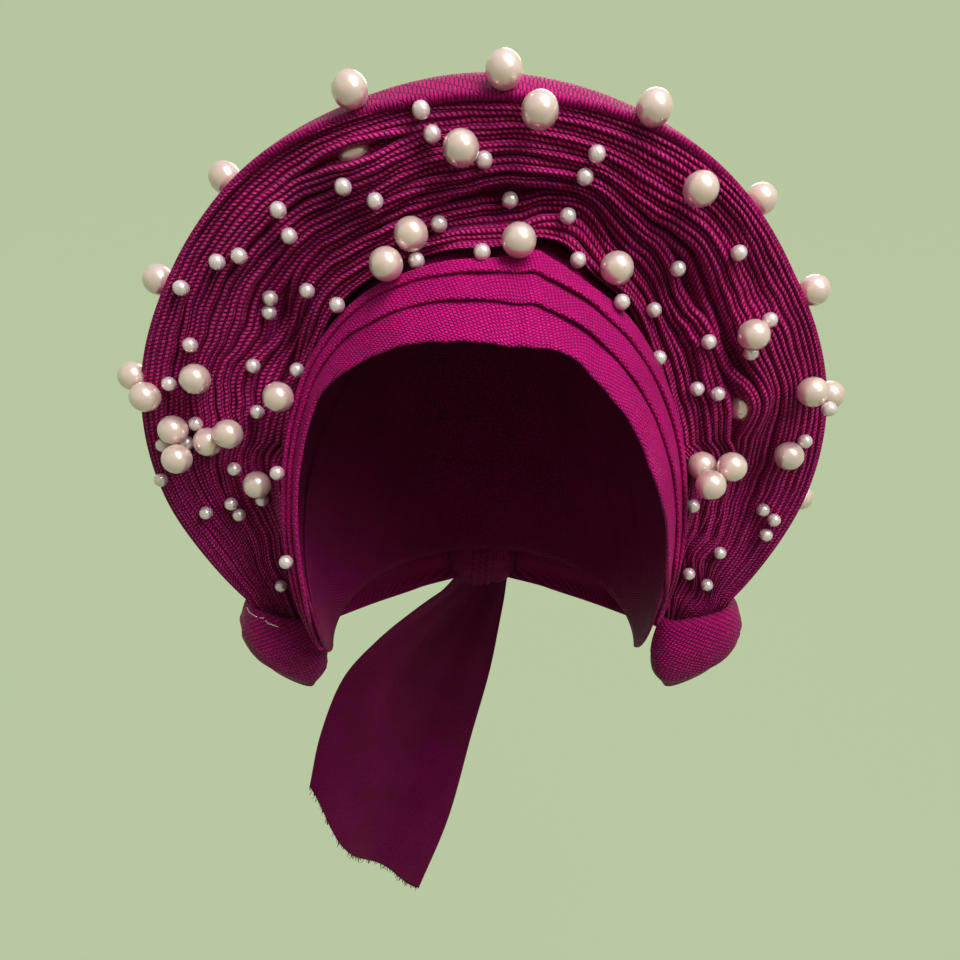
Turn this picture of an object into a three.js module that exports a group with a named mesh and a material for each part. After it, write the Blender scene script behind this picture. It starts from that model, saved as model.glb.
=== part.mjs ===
// A pre-tied gele head tie: a fan of pleated cloth round a cap, a folded forehead band, wraps that bind
// the pleat ends, a knot and tail at the nape, and loose pearls sewn over the fan.
// Millimetres, +Z up, front towards -Y. The origin is the crown seat, the inside top of the cap.
import * as THREE from "three";

const { clamp, degToRad, lerp, smoothstep } = THREE.MathUtils;

// Driving dimensions; HOLLOW is the egg-shaped room inside the cap
const HOLLOW = { halfWidth: 73, halfLength: 92, height: 115 };
const CLOTH = { wall: 1.2, gap: 0.4, colour: "#b01070", roughness: 0.8 };
const FAN = {
  centreX: 0.6,
  centreRise: 12,
  footY: -31.9,
  footZ: -99.9,
  lean: degToRad(15.8),
  halfAngle: 126,
  innerHalfAngle: 137,
  openHalfWidth: 69.5,
  rim: 111.6,
  rimLeftward: 1.6,
  flare: 8.4,
  flareRightward: 3.6,
  flareFrom: 55,
  flareCurve: 1.2,
  crestDip: 2,
  crestHalfAngle: 27,
  crestShare: 0.07,
  innerForward: 5,
  innerShare: 0.08,
  pleats: 10,
  pleatDepth: 15,
  valleySink: 0.3,
  wall: 1,
  rimGap: 1.4,
  stations: 44,
};
const CAP = {
  frontStations: 20,
  napeStations: 13,
  rings: 6,
  edgeTuck: 4,
  napeFrom: 68,
  napeDrop: 31,
  pole: [0, 0.75, 0.66],
};
const COVER = {
  lift: 2.6,
  wall: 1.6,
  stations: 40,
  rings: 10,
  rimCrowding: 1.2,
  folds: 8,
  foldHeight: 1.4,
  endLevel: -159,
  napeLevel: -175,
  napeTurn: 144,
  levelSteps: 24,
};
const BAND = { wall: 1, step: 1.3, tuck: -1, firstLift: 1.6, stations: 34 };
const WRAP = { wall: 1.6, stations: 18, across: 3, bow: 3, tangentStep: 0.05, backFrom: 4, backBy: 7 };
const KNOT = {
  centre: [0.1, 91.2, -186],
  half: [19, 8.5, 15],
  pinch: 0.16,
  pinchSharpness: 9,
  sides: 14,
  rings: 8,
};
const TAIL = { wall: 1.4, stations: 12, across: 8, waves: 1.5 };
const PEARL = {
  radius: 5,
  gap: 0.3,
  sides: 10,
  rings: 6,
  slides: 60,
  tolerance: 0.02,
  colour: "#f1e3d3",
  roughness: 0.25,
};
const WELDS_PER_MM = 1000;

// The view that the pearls are placed by: its eye in millimetres, focal length and centre in picture points
const SIGHT = { eye: [-1.4, -273.4, -21.4], pitch: degToRad(18), focal: 715, centre: 480 };

// Front band: angles from straight ahead, at turns round the opening from the top, to the right positive
const BAND_ROWS = [
  { turn: -118, lower: 57, fold1: 59.5, fold2: 61, top: 62.5 },
  { turn: -90, lower: 56.6, fold1: 59.3, fold2: 61, top: 62.5 },
  { turn: -60, lower: 53.8, fold1: 57.4, fold2: 59.4, top: 61 },
  { turn: -46, lower: 47.4, fold1: 53.3, fold2: 56, top: 57.6 },
  { turn: -33, lower: 42.2, fold1: 48.4, fold2: 52.4, top: 54 },
  { turn: -21, lower: 38.9, fold1: 45.2, fold2: 49.3, top: 51 },
  { turn: -11, lower: 37, fold1: 43.4, fold2: 47.5, top: 49.8 },
  { turn: 0, lower: 35.9, fold1: 42.4, fold2: 46.8, top: 49.2 },
  { turn: 8, lower: 35.9, fold1: 42.5, fold2: 47.3, top: 50.4 },
  { turn: 13, lower: 36.3, fold1: 43, fold2: 48.3, top: 52.4 },
  { turn: 17, lower: 36.9, fold1: 43.6, fold2: 48.4, top: 52.6 },
  { turn: 29, lower: 39, fold1: 44.6, fold2: 49.4, top: 52.9 },
  { turn: 42, lower: 40.5, fold1: 46.9, fold2: 51.9, top: 56 },
  { turn: 56, lower: 43.1, fold1: 50, fold2: 55.3, top: 58.6 },
  { turn: 71, lower: 46.4, fold1: 54.2, fold2: 58.8, top: 61.6 },
  { turn: 90, lower: 54, fold1: 59, fold2: 62, top: 64 },
  { turn: 112, lower: 60, fold1: 62, fold2: 63.5, top: 65 },
];

// Outer cover: how much of the rim's stand-off from the hollow is left at each share of the way back
const COVER_ROWS = [
  { share: 0, standOff: 1 },
  { share: 0.1, standOff: 0.895 },
  { share: 0.22, standOff: 0.72 },
  { share: 0.36, standOff: 0.51 },
  { share: 0.5, standOff: 0.36 },
  { share: 0.65, standOff: 0.21 },
  { share: 0.8, standOff: 0.12 },
  { share: 1, standOff: 0.04 },
];

// Waves in the pleats: place (turn, share of the fan's width), spread, outward shift and sink in millimetres
const WAVE_ROWS = [
  { turn: -21, share: 0.77, spread: 9, width: 0.2, shift: 1, sink: 11 },
  { turn: -57, share: 0.28, spread: 12, width: 0.2, shift: -2, sink: 5 },
  { turn: -76, share: 0.5, spread: 10, width: 0.25, shift: 2, sink: 2 },
  { turn: -106, share: 0.35, spread: 12, width: 0.3, shift: 2, sink: 2 },
  { turn: 4, share: 0.24, spread: 9, width: 0.15, shift: 1.5, sink: 5 },
  { turn: 18, share: 0.2, spread: 8, width: 0.2, shift: 3, sink: 2 },
  { turn: 46, share: 0.35, spread: 10, width: 0.2, shift: -2.5, sink: 4 },
  { turn: 78, share: 0.45, spread: 9, width: 0.2, shift: 1.5, sink: 11 },
  { turn: 100, share: 0.6, spread: 12, width: 0.3, shift: -2, sink: 2 },
];

// Side wrap, from its front flap beside the opening round the outside to the knot; out is from the middle
const WRAP_ROWS = [
  { out: 71, y: -14, top: -165, bottom: -192 },
  { out: 74, y: -19, top: -164, bottom: -194 },
  { out: 83, y: -20.5, top: -162, bottom: -190 },
  { out: 93, y: -19, top: -160, bottom: -184 },
  { out: 99.3, y: -12, top: -160, bottom: -180 },
  { out: 100.5, y: 0, top: -160, bottom: -184 },
  { out: 90, y: 20, top: -161, bottom: -191 },
  { out: 76, y: 43, top: -164, bottom: -196 },
  { out: 57.5, y: 66, top: -166, bottom: -199 },
  { out: 36.5, y: 82.5, top: -168, bottom: -200 },
  { out: 18.2, y: 90.5, top: -171, bottom: -197 },
];
const WRAP_SIDES = [
  { name: "side_wrap_left", hand: -1, reach: 0.957, backReach: 0.986 },
  { name: "side_wrap_right", hand: 1, reach: 1.02, backReach: 1.005 },
];

// Tail, from the knot to its hem: both long edges, how far back it hangs, fold height and sag between edges
const TAIL_ROWS = [
  { leftX: -12, leftZ: -199.4, rightX: 14, rightZ: -199.4, y: 91.5, fold: 2.5, sag: 0 },
  { leftX: -37, leftZ: -219, rightX: 10, rightZ: -223, y: 91.5, fold: 4, sag: 0 },
  { leftX: -62, leftZ: -240, rightX: 4, rightZ: -254, y: 88.5, fold: 5, sag: 0 },
  { leftX: -82, leftZ: -262, rightX: -6, rightZ: -290, y: 82.5, fold: 6, sag: 4 },
  { leftX: -95, leftZ: -293, rightX: -20, rightZ: -342, y: 73, fold: 6, sag: 9 },
  { leftX: -101, leftZ: -321, rightX: -38, rightZ: -386, y: 63, fold: 5, sag: 18 },
];

// Large pearls: where each shows in the view, and the depth behind the fan's front face that it starts from.
// One that starts in front slides back along the line of sight, one behind the rim slides in to the cover.
const PEARL_ROWS = [
  { across: 540, down: 110, depth: -20 },
  { across: 461, down: 148, depth: -20 },
  { across: 701, down: 189, depth: -20 },
  { across: 411, down: 234, depth: -20 },
  { across: 519, down: 240, depth: -20 },
  { across: 386, down: 264, depth: -20 },
  { across: 617, down: 268, depth: -20 },
  { across: 195, down: 379, depth: -20 },
  { across: 145, down: 397, depth: -20 },
  { across: 173, down: 430, depth: -20 },
  { across: 208, down: 442, depth: -20 },
  { across: 177, down: 459, depth: -20 },
  { across: 228, down: 434, depth: -20 },
  { across: 278, down: 397, depth: -20 },
  { across: 257, down: 485, depth: -20 },
  { across: 754, down: 335, depth: -20 },
  { across: 813, down: 392, depth: -20 },
  { across: 789, down: 456, depth: -20 },
  { across: 702, down: 466, depth: -5 },
  { across: 732, down: 467, depth: -20 },
  { across: 711, down: 485, depth: -20 },
  { across: 742, down: 406, depth: -20 },
  { across: 354, down: 152, depth: -20 },
  { across: 350, down: 90, depth: 0.5 },
  { across: 504, down: 67, depth: 0.5 },
  { across: 656, down: 104, depth: 1 },
  { across: 223, down: 175, depth: 16 },
  { across: 764, down: 196, depth: 14 },
  { across: 154, down: 277, depth: 9 },
  { across: 818, down: 288, depth: 5 },
  { across: 129, down: 375, depth: 3 },
  { across: 834, down: 394, depth: 6.5 },
  { across: 805, down: 498, depth: 9.5 },
];

// Value of a named column between the rows of a table, smooth at the rows
function column(rows, key, at, name) {
  const last = rows.length - 1;
  if (at <= rows[0][key]) return rows[0][name];
  if (at >= rows[last][key]) return rows[last][name];
  const i = rows.findIndex((row) => row[key] >= at) - 1;
  const before = rows[Math.max(i - 1, 0)];
  const after = rows[Math.min(i + 2, last)];
  const [a, b] = [rows[i], rows[i + 1]];
  const span = b[key] - a[key];
  const t = (at - a[key]) / span;
  const slopeA = ((b[name] - before[name]) / (b[key] - before[key])) * span;
  const slopeB = ((after[name] - a[name]) / (after[key] - a[key])) * span;
  const [t2, t3] = [t * t, t * t * t];
  return (
    (2 * t3 - 3 * t2 + 1) * a[name] +
    (t3 - 2 * t2 + t) * slopeA +
    (3 * t2 - 2 * t3) * b[name] +
    (t3 - t2) * slopeB
  );
}

// A list's rows numbered, so that a table with no key of its own can be read along its length
const numbered = (rows) => rows.map((row, index) => ({ ...row, index }));

// Faces on shared corners, gathered one at a time
function shell() {
  const positions = [];
  const faces = [];
  const known = new Map();
  const corner = (p) => {
    const key = p.toArray().map((v) => Math.round(v * WELDS_PER_MM)).join();
    if (!known.has(key)) {
      known.set(key, positions.length / 3);
      positions.push(p.x, p.y, p.z);
    }
    return known.get(key);
  };
  const face = (p, q, r) => {
    const corners = [p, q, r].map(corner);
    if (new Set(corners).size === 3) faces.push(...corners);
  };
  const quad = (p, q, r, s) => {
    face(p, q, r);
    face(p, r, s);
  };
  return { face, quad, close: () => closed(positions, faces) };
}

// Closed wall between two grids of points of the same shape; a looped grid joins its last column to its first
function wall(front, back, looped = false) {
  const { quad, close } = shell();
  const rows = front.length - 1;
  const columns = front[0].length - (looped ? 0 : 1);
  const next = (j) => (j + 1) % front[0].length;
  for (let i = 0; i < rows; i++) {
    for (let j = 0; j < columns; j++) {
      quad(front[i][j], front[i + 1][j], front[i + 1][next(j)], front[i][next(j)]);
      quad(back[i][j], back[i][next(j)], back[i + 1][next(j)], back[i + 1][j]);
    }
    if (!looped) {
      quad(front[i][0], back[i][0], back[i + 1][0], front[i + 1][0]);
      quad(front[i][columns], front[i + 1][columns], back[i + 1][columns], back[i][columns]);
    }
  }
  for (let j = 0; j < columns; j++) {
    quad(front[0][j], front[0][next(j)], back[0][next(j)], back[0][j]);
    quad(front[rows][j], back[rows][j], back[rows][next(j)], front[rows][next(j)]);
  }
  return close();
}

// Geometry from points and faces, turned so that its faces point out
function closed(positions, faces) {
  const at = (i) => new THREE.Vector3().fromArray(positions, 3 * i);
  let volume = 0;
  for (let i = 0; i < faces.length; i += 3) {
    volume += at(faces[i]).dot(at(faces[i + 1]).cross(at(faces[i + 2])));
  }
  const geometry = new THREE.BufferGeometry();
  geometry.setAttribute("position", new THREE.Float32BufferAttribute(positions, 3));
  geometry.setIndex(volume > 0 ? faces : faces.reverse());
  geometry.computeVertexNormals();
  return geometry;
}

const range = (count) => Array.from({ length: count + 1 }, (_, i) => i / count);

// Point of the fan's frame: turn round its centre, distance from it, depth behind its leaning front face
function fanPoint(turn, radius, depth) {
  const angle = degToRad(turn);
  const rise = FAN.centreRise + radius * Math.cos(angle);
  return new THREE.Vector3(
    FAN.centreX + radius * Math.sin(angle),
    FAN.footY - rise * Math.sin(FAN.lean) + depth,
    FAN.footZ + rise * Math.cos(FAN.lean),
  );
}

// Distance from the fan's centre to the hollow's surface, lifted off it, at a turn and depth
function hollowRadius(turn, depth, lift) {
  const start = fanPoint(turn, 0, depth);
  const along = fanPoint(turn, 1, depth).sub(start);
  const half = new THREE.Vector3(HOLLOW.halfWidth, HOLLOW.halfLength, HOLLOW.height).addScalar(lift);
  const from = start.clone().add(new THREE.Vector3(0, 0, HOLLOW.height)).divide(half);
  const step = along.divide(half);
  const [a, b, c] = [step.dot(step), from.dot(step), from.dot(from) - 1];
  return Math.max(0, (-b + Math.sqrt(Math.max(0, b * b - a * c))) / a);
}

function rimRadius(turn) {
  const past = Math.max(0, Math.abs(turn) - FAN.flareFrom) / (FAN.halfAngle - FAN.flareFrom);
  const rightward = Math.sin(degToRad(turn));
  const flare = FAN.flare + FAN.flareRightward * rightward;
  return FAN.rim - FAN.rimLeftward * rightward + flare * Math.pow(Math.min(past, 1), FAN.flareCurve);
}

// How far the front edge dips below the crest of the cover behind it, at the top of the fan
function crestDip(turn, share) {
  const top = Math.exp(-Math.pow(turn / FAN.crestHalfAngle, 4));
  return FAN.crestDip * top * (1 - smoothstep(share, 0, FAN.crestShare));
}

// Depth at which the fan's centre line leaves the back of the lifted hollow
function poleDepth(lift) {
  const start = fanPoint(0, 0, 0);
  const rise = (start.z + HOLLOW.height) / (HOLLOW.height + lift);
  return (HOLLOW.halfLength + lift) * Math.sqrt(1 - rise * rise) - start.y;
}

// Where the cover begins, as a share of the way back: at the rim, and beyond the fan's ends at a level line
function coverStart(turn, lift) {
  const past = smoothstep(Math.abs(turn), FAN.halfAngle, COVER.napeTurn);
  if (past === 0) return 0;
  const level = lerp(COVER.endLevel, COVER.napeLevel, past);
  let [low, high] = [0, 1];
  for (let step = 0; step < COVER.levelSteps; step++) {
    const share = (low + high) / 2;
    const below = fanPoint(turn, coverRadius(turn, share, lift), 0).z < level;
    [low, high] = below ? [share, high] : [low, share];
  }
  return low;
}

function coverRadius(turn, share, lift) {
  const standOff = rimRadius(turn) - hollowRadius(clamp(turn, -FAN.halfAngle, FAN.halfAngle), 0, lift);
  const left = column(COVER_ROWS, "share", share, "standOff");
  const fold = COVER.foldHeight * Math.sin(Math.PI * share) * Math.cos(degToRad(COVER.folds * turn));
  const dip = crestDip(turn, share);
  return hollowRadius(turn, share * poleDepth(lift), lift) + standOff * left + fold - dip;
}

// Point of the cover, at a share of the way from its edge to the middle of the back
function coverPoint(turn, along, lift) {
  const start = Math.asin(coverStart(turn, lift));
  const share = Math.sin(lerp(start, Math.PI / 2, Math.pow(along, COVER.rimCrowding)));
  const radius = along === 1 ? 0 : coverRadius(turn, share, lift);
  return fanPoint(turn, radius, share * poleDepth(lift));
}

function waveAt(turn, share, name) {
  return WAVE_ROWS.reduce((sum, row) => {
    const across = (turn - row.turn) / row.spread;
    const along = (share - row.share) / row.width;
    return sum + row[name] * Math.exp(-across * across - along * along);
  }, 0);
}

// One point of the folded fan: share of its width from the cap to the cover, and depth behind the front face
function pleatPoint(turn, share, depth) {
  const below = Math.cos(degToRad(turn)) < 0;
  const beside = below ? FAN.openHalfWidth / Math.sin(degToRad(Math.abs(turn))) : 0;
  const inner = Math.max(hollowRadius(turn, depth, CLOTH.wall + CLOTH.gap), beside);
  const coverDepth = Math.max(0, depth) / poleDepth(COVER.lift);
  const outer = coverRadius(turn, coverDepth, COVER.lift) - FAN.rimGap;
  const edge = Math.sin(Math.PI * share);
  const shift = waveAt(turn, share, "shift") * edge;
  return fanPoint(turn, lerp(inner, outer, share) + shift, depth);
}

function fanPleats() {
  const folds = 2 * FAN.pleats;
  const front = [];
  const back = [];
  for (const t of range(FAN.stations)) {
    const side = 2 * t - 1;
    const turns = range(folds).map((share) => side * lerp(FAN.innerHalfAngle, FAN.halfAngle, share));
    const depths = turns.map((turn, j) => {
      const sink = waveAt(turn, j / folds, "sink");
      const forward = FAN.innerForward * Math.exp(-Math.pow(j / folds / FAN.innerShare, 2));
      return j % 2 ? sink - forward : FAN.pleatDepth + sink * FAN.valleySink;
    });
    const width = pleatPoint(turns[folds], 1, 0).distanceTo(pleatPoint(turns[0], 0, 0));
    const thick = (FAN.wall * FAN.pleatDepth * folds) / width;
    front.push(turns.map((turn, j) => pleatPoint(turn, j / folds, depths[j])));
    back.push(turns.map((turn, j) => pleatPoint(turn, j / folds, depths[j] + thick)));
  }
  return wall(front, back);
}

// Point on the lifted hollow: turn round the opening from the top, and angle from straight ahead
function hollowPoint(turn, reach, lift) {
  const half = new THREE.Vector3(HOLLOW.halfWidth, HOLLOW.halfLength, HOLLOW.height).addScalar(lift);
  const point = direction(turn, reach).multiply(half);
  return point.setZ(point.z - HOLLOW.height);
}

const bandEnds = () => [BAND_ROWS[0].turn, BAND_ROWS[BAND_ROWS.length - 1].turn];

// Direction from the middle of the hollow
function direction(turn, reach) {
  const [t, r] = [degToRad(turn), degToRad(reach)];
  return new THREE.Vector3(Math.sin(r) * Math.sin(t), -Math.cos(r), Math.sin(r) * Math.cos(t));
}

// Edge of the cap, as directions: round the opening under the band, then round the nape
function capEdge() {
  const [first, last] = bandEnds();
  const opening = range(CAP.frontStations).map((t) => {
    const turn = lerp(first, last, t);
    return direction(turn, column(BAND_ROWS, "turn", turn, "lower") + CAP.edgeTuck);
  });
  const drop = degToRad(CAP.napeDrop);
  const nape = range(CAP.napeStations).map((t) => {
    const azimuth = degToRad(lerp(CAP.napeFrom, 360 - CAP.napeFrom, t));
    const level = new THREE.Vector3(Math.sin(azimuth), -Math.cos(azimuth), 0);
    return level.multiplyScalar(Math.cos(drop)).setZ(-Math.sin(drop));
  });
  return [...opening, ...nape];
}

function crownCap() {
  const edge = capEdge();
  const pole = new THREE.Vector3(...CAP.pole).normalize();
  const grid = (lift) => {
    const half = new THREE.Vector3(HOLLOW.halfWidth, HOLLOW.halfLength, HOLLOW.height).addScalar(lift);
    return range(CAP.rings).map((t) =>
      edge.map((rim) => {
        const axis = rim.clone().cross(pole).normalize();
        const point = rim.clone().applyAxisAngle(axis, t * rim.angleTo(pole));
        return point.multiply(half).setZ(point.z - HOLLOW.height);
      }),
    );
  };
  return wall(grid(CLOTH.wall), grid(0), true);
}

function backCover() {
  const turns = range(COVER.stations).slice(0, -1).map((t) => 360 * t - 180);
  const grid = (lift) =>
    range(COVER.rings).map((along) => turns.map((turn) => coverPoint(turn, along, lift)));
  return wall(grid(COVER.lift + COVER.wall), grid(COVER.lift), true);
}

// One fold of the front band, lying on the fold below it
function bandFold(level, from, to, tuck) {
  const lift = BAND.firstLift + level * BAND.step;
  const [first, last] = bandEnds();
  const grid = (height) =>
    range(BAND.stations).map((t) => {
      const turn = lerp(first, last, t);
      const lower = column(BAND_ROWS, "turn", turn, from);
      const upper = column(BAND_ROWS, "turn", turn, to) + tuck;
      return range(2).map((s) => hollowPoint(turn, lerp(lower, upper, s), height));
    });
  return wall(grid(lift + BAND.wall), grid(lift));
}

function sideWrap({ hand, reach, backReach }) {
  const rows = numbered(WRAP_ROWS);
  const last = rows.length - 1;
  const value = (at, name) => column(rows, "index", at, name);
  const middle = (at) => {
    const widen = lerp(reach, backReach, smoothstep(at, WRAP.backFrom, WRAP.backBy));
    return new THREE.Vector2(value(at, "out") * widen, value(at, "y"));
  };
  const grid = (offset) =>
    range(WRAP.stations).map((t) => {
      const at = t * last;
      const before = middle(Math.max(at - WRAP.tangentStep, 0));
      const along = middle(Math.min(at + WRAP.tangentStep, last)).sub(before).normalize();
      const outward = new THREE.Vector2(along.y, -along.x);
      return range(WRAP.across).map((s) => {
        const bow = WRAP.bow * Math.sin(Math.PI * s);
        const place = middle(at).addScaledVector(outward, offset + bow);
        return new THREE.Vector3(hand * place.x, place.y, lerp(value(at, "top"), value(at, "bottom"), s));
      });
    });
  return wall(grid(WRAP.wall), grid(0));
}

// Soft knot: a flattened ball, pinched across its middle by the turn that ties it
function napeKnot() {
  const ball = new THREE.SphereGeometry(1, KNOT.sides, KNOT.rings);
  const half = new THREE.Vector3(...KNOT.half);
  const { face, close } = shell();
  for (const { a, b, c } of trianglesOf(ball)) {
    for (const point of [a, b, c]) {
      const pinch = KNOT.pinch * Math.exp(-KNOT.pinchSharpness * point.x * point.x);
      point.multiply(half).multiplyScalar(1 - pinch);
    }
    face(a, b, c);
  }
  return close();
}

function tailSheet() {
  const rows = numbered(TAIL_ROWS);
  const last = rows.length - 1;
  const value = (at, name) => column(rows, "index", at, name);
  const grid = (offset) =>
    range(TAIL.stations).map((t) => {
      const at = t * last;
      return range(TAIL.across).map((s) => {
        const sag = value(at, "sag") * Math.sin(Math.PI * s);
        const wave = value(at, "fold") * Math.cos(2 * Math.PI * TAIL.waves * s);
        return new THREE.Vector3(
          lerp(value(at, "leftX"), value(at, "rightX"), s),
          value(at, "y") + wave + offset,
          lerp(value(at, "leftZ"), value(at, "rightZ"), s) - sag,
        );
      });
    });
  return wall(grid(0), grid(TAIL.wall));
}

// Triangles of a geometry, with corners of their own
function trianglesOf(geometry) {
  const place = geometry.getAttribute("position");
  const index = geometry.getIndex().array;
  const corner = (i) => new THREE.Vector3().fromBufferAttribute(place, i);
  const triangles = [];
  for (let i = 0; i < index.length; i += 3) {
    triangles.push(new THREE.Triangle(corner(index[i]), corner(index[i + 1]), corner(index[i + 2])));
  }
  return triangles;
}

function sightLine({ across, down }) {
  const right = across - SIGHT.centre;
  const up = SIGHT.centre - down;
  return new THREE.Vector3(
    right,
    SIGHT.focal * Math.cos(SIGHT.pitch) + up * Math.sin(SIGHT.pitch),
    -SIGHT.focal * Math.sin(SIGHT.pitch) + up * Math.cos(SIGHT.pitch),
  ).normalize();
}

// Slide each pearl along its path until it lies a small gap off the cloth and the pearls sewn before it
function pearlPlaces(cloth) {
  const eye = new THREE.Vector3(...SIGHT.eye);
  const seat = PEARL.radius + PEARL.gap;
  const middle = fanPoint(0, 0, 0);
  const inward = new THREE.Vector3(0, Math.cos(FAN.lean), Math.sin(FAN.lean));
  const placed = [];
  const near = new THREE.Vector3();
  const clearance = (p) => {
    const cloths = cloth.map((triangle) => triangle.closestPointToPoint(p, near).distanceTo(p) - seat);
    const pearls = placed.map((q) => q.distanceTo(p) - seat - PEARL.radius);
    return Math.min(...cloths, ...pearls);
  };
  for (const row of PEARL_ROWS) {
    const sight = sightLine(row);
    const start = middle.clone().addScaledVector(inward, row.depth);
    const place = eye.clone().addScaledVector(sight, start.sub(eye).dot(inward) / sight.dot(inward));
    const toMiddle = new THREE.Vector3(FAN.centreX, place.y, middle.z).sub(place).normalize();
    const path = row.depth > 0 ? toMiddle : sight;
    for (let slide = 0; slide < PEARL.slides; slide++) {
      const room = clearance(place);
      if (Math.abs(room) < PEARL.tolerance) break;
      place.addScaledVector(path, room);
    }
    placed.push(place);
  }
  return placed;
}

// Assembly
const finish = ({ colour, roughness }) =>
  new THREE.MeshStandardMaterial({ color: colour, roughness, metalness: 0 });
const clothWoven = finish(CLOTH);
const pearlGloss = finish(PEARL);

const gele = new THREE.Group();
function add(name, geometry, material, place = [0, 0, 0]) {
  const mesh = new THREE.Mesh(geometry, material);
  mesh.name = name;
  mesh.position.set(...place);
  gele.add(mesh);
  return mesh;
}

const fan = add("fan_pleats", fanPleats(), clothWoven);
add("crown_cap", crownCap(), clothWoven);
const cover = add("back_cover", backCover(), clothWoven);
const bands = [
  add("band_fold_lower", bandFold(0, "lower", "fold2", BAND.tuck), clothWoven),
  add("band_fold_middle", bandFold(1, "fold1", "top", BAND.tuck), clothWoven),
  add("band_fold_upper", bandFold(2, "fold2", "top", 0), clothWoven),
];
const wraps = WRAP_SIDES.map((side) => add(side.name, sideWrap(side), clothWoven));
add("nape_knot", napeKnot(), clothWoven, KNOT.centre);
add("tail", tailSheet(), clothWoven);

const cloth = [fan, cover, ...bands, ...wraps].flatMap((mesh) => trianglesOf(mesh.geometry));
pearlPlaces(cloth).forEach((place, i) => {
  const ball = new THREE.SphereGeometry(PEARL.radius, PEARL.sides, PEARL.rings);
  add("pearl_" + String(i + 1).padStart(2, "0"), ball, pearlGloss, place.toArray());
});

export default gele;
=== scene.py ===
"""Pre-tied gele head tie: its cloth and its pearls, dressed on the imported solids.

Lengths are in millimetres until a mesh is made, in the row frame: +Z up, front towards -Y.
"""
import math
from types import SimpleNamespace as Values

import bpy
import numpy as np
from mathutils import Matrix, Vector
from mathutils.bvhtree import BVHTree


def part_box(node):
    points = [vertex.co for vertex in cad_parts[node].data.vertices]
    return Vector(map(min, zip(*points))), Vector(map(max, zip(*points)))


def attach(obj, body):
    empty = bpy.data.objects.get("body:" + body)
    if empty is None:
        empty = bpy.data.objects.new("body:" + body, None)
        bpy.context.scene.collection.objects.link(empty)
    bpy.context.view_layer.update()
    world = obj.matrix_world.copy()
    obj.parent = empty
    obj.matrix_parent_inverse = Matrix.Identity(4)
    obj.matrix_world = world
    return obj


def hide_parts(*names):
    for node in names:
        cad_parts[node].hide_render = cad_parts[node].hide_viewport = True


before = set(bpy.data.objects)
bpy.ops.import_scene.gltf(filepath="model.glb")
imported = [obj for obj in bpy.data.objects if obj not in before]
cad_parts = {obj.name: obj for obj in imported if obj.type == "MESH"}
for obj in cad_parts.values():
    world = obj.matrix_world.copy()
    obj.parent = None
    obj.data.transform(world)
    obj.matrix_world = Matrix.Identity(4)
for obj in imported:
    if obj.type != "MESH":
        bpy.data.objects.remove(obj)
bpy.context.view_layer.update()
scene = bpy.context.scene

MM = 0.001


def table(names, *rows):
    """Rows of a table with named columns, each with its index."""
    return [Values(index=i, **dict(zip(names.split(), row))) for i, row in enumerate(rows)]


# Sizes shared with the part's source: hollow, fan, cover, band, wraps, tail and knot
HALF = np.array([73.0, 92.0, 115.0])
MIDDLE = np.array([0, 0, -HALF[2]])
FAN = Values(
    centre_x=0.6, centre_rise=12.0, foot_y=-31.9, foot_z=-99.9, lean=math.radians(15.8),
    half_angle=126.0, open_half_width=69.5, rim=111.6, rim_leftward=1.6, flare=8.4,
    flare_rightward=3.6, flare_from=55.0, flare_curve=1.2, crest_dip=2.0,
    crest_half_angle=27.0, crest_share=0.07, pleat_depth=15.0,
)
COVER = Values(
    lift=2.6, wall=1.6, end_level=-159.0, nape_level=-175.0, nape_turn=144.0,
    folds=8, fold_height=1.4, rim_crowding=1.2, level_steps=24,
)
COVER_ROWS = table(
    "share stand_off",
    (0.0, 1.0), (0.1, 0.895), (0.22, 0.72), (0.36, 0.51), (0.5, 0.36), (0.65, 0.21), (0.8, 0.12),
    (1.0, 0.04),
)
BAND_ROWS = table(
    "turn lower fold1 fold2 top",
    (-118, 57, 59.5, 61, 62.5),
    (-90, 56.6, 59.3, 61, 62.5),
    (-60, 53.8, 57.4, 59.4, 61),
    (-46, 47.4, 53.3, 56, 57.6),
    (-33, 42.2, 48.4, 52.4, 54),
    (-21, 38.9, 45.2, 49.3, 51),
    (-11, 37, 43.4, 47.5, 49.8),
    (0, 35.9, 42.4, 46.8, 49.2),
    (8, 35.9, 42.5, 47.3, 50.4),
    (13, 36.3, 43, 48.3, 52.4),
    (17, 36.9, 43.6, 48.4, 52.6),
    (29, 39, 44.6, 49.4, 52.9),
    (42, 40.5, 46.9, 51.9, 56),
    (56, 43.1, 50, 55.3, 58.6),
    (71, 46.4, 54.2, 58.8, 61.6),
    (90, 54, 59, 62, 64),
    (112, 60, 62, 63.5, 65),
)
WRAP_ROWS = table(
    "out y top bottom",
    (71, -14, -165, -192),
    (74, -19, -164, -194),
    (83, -20.5, -162, -190),
    (93, -19, -160, -184),
    (99.3, -12, -160, -180),
    (100.5, 0, -160, -184),
    (90, 20, -161, -191),
    (76, 43, -164, -196),
    (57.5, 66, -166, -199),
    (36.5, 82.5, -168, -200),
    (18.2, 90.5, -171, -197),
)
TAIL_ROWS = table(
    "leftX leftZ rightX rightZ y fold sag",
    (-12, -199.4, 14, -199.4, 91.5, 2.5, 0),
    (-37, -219, 10, -223, 91.5, 4, 0),
    (-62, -240, 4, -254, 88.5, 5, 0),
    (-82, -262, -6, -290, 82.5, 6, 4),
    (-95, -293, -20, -342, 73, 6, 9),
    (-101, -321, -38, -386, 63, 5, 18),
)
KNOT = Values(centre=np.array([0.1, 91.2, -186.0]), half=np.array([19.0, 8.5, 15.0]))

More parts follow.
